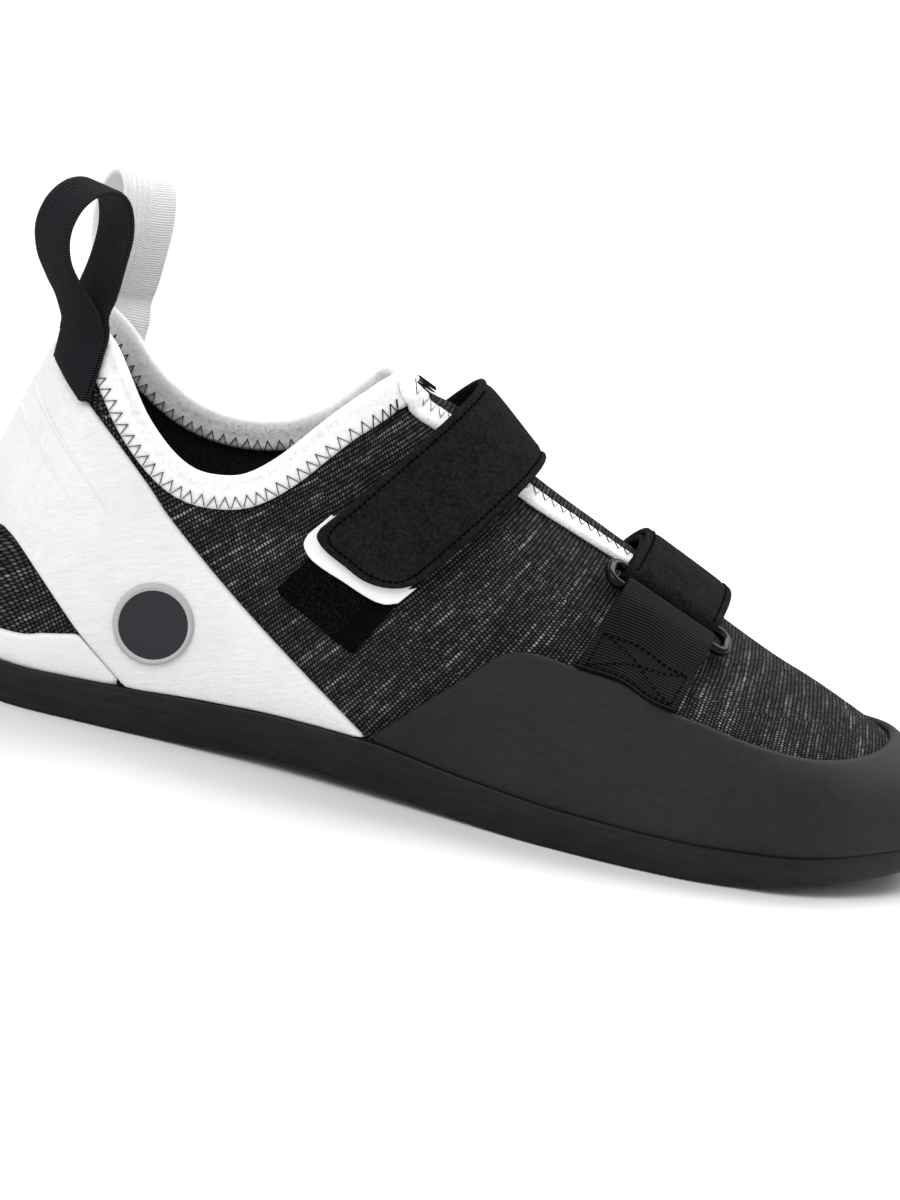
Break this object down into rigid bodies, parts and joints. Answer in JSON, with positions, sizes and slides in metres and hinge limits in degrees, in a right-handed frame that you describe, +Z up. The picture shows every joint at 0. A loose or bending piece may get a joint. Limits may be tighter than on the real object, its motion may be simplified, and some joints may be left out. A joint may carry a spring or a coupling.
{
  "type": "climbing shoe",
  "caption": "Right climbing shoe: knitted upper on a curved rubber sole, rubber toe and heel rands, two hook-and-loop straps, a slot ring and two heel pull loops.",
  "frame": {"origin": "centre of the shoe's box, on the floor plane under the sole", "axes": "+X towards the toe, +Y towards the inner (medial) side of the foot, +Z up"},
  "size_m": [0.2694, 0.0952, 0.1357],
  "materials": {
    "outsole": "matt",
    "insole": "matt",
    "upper": "knitted, matt",
    "collar_binding": "felt, matt",
    "throat_binding": "microfibre, matt",
    "toe_rand": "matt",
    "heel_rand": "fine grain, satin",
    "heel_strip": "satin",
    "badge": "satin",
    "strap_top": "microfibre, matt",
    "strap_top_tab": "satin",
    "loop_patch_top": "looped pile",
    "strap_lower": "microfibre, matt",
    "ring": "gloss",
    "ring_webbing": "ribbed webbing",
    "pull_loop_outer": "ribbed webbing",
    "pull_loop_inner": "ribbed webbing"
  },
  "bodies": {
    "root": {"outsole": "outsole", "insole": "insole", "upper": "upper", "collar_binding": "collar_binding", "throat_binding": "throat_binding", "toe_rand": "toe_rand", "heel_rand": "heel_rand", "heel_strip": "heel_strip", "badge": "badge", "strap_top": "strap_top", "strap_top_tab": "strap_top_tab", "loop_patch_top": "loop_patch_top", "strap_lower": "strap_lower", "ring": "ring", "ring_webbing": "ring_webbing", "pull_loop_outer": "pull_loop_outer", "pull_loop_inner": "pull_loop_inner"}
  },
  "joints": []
}
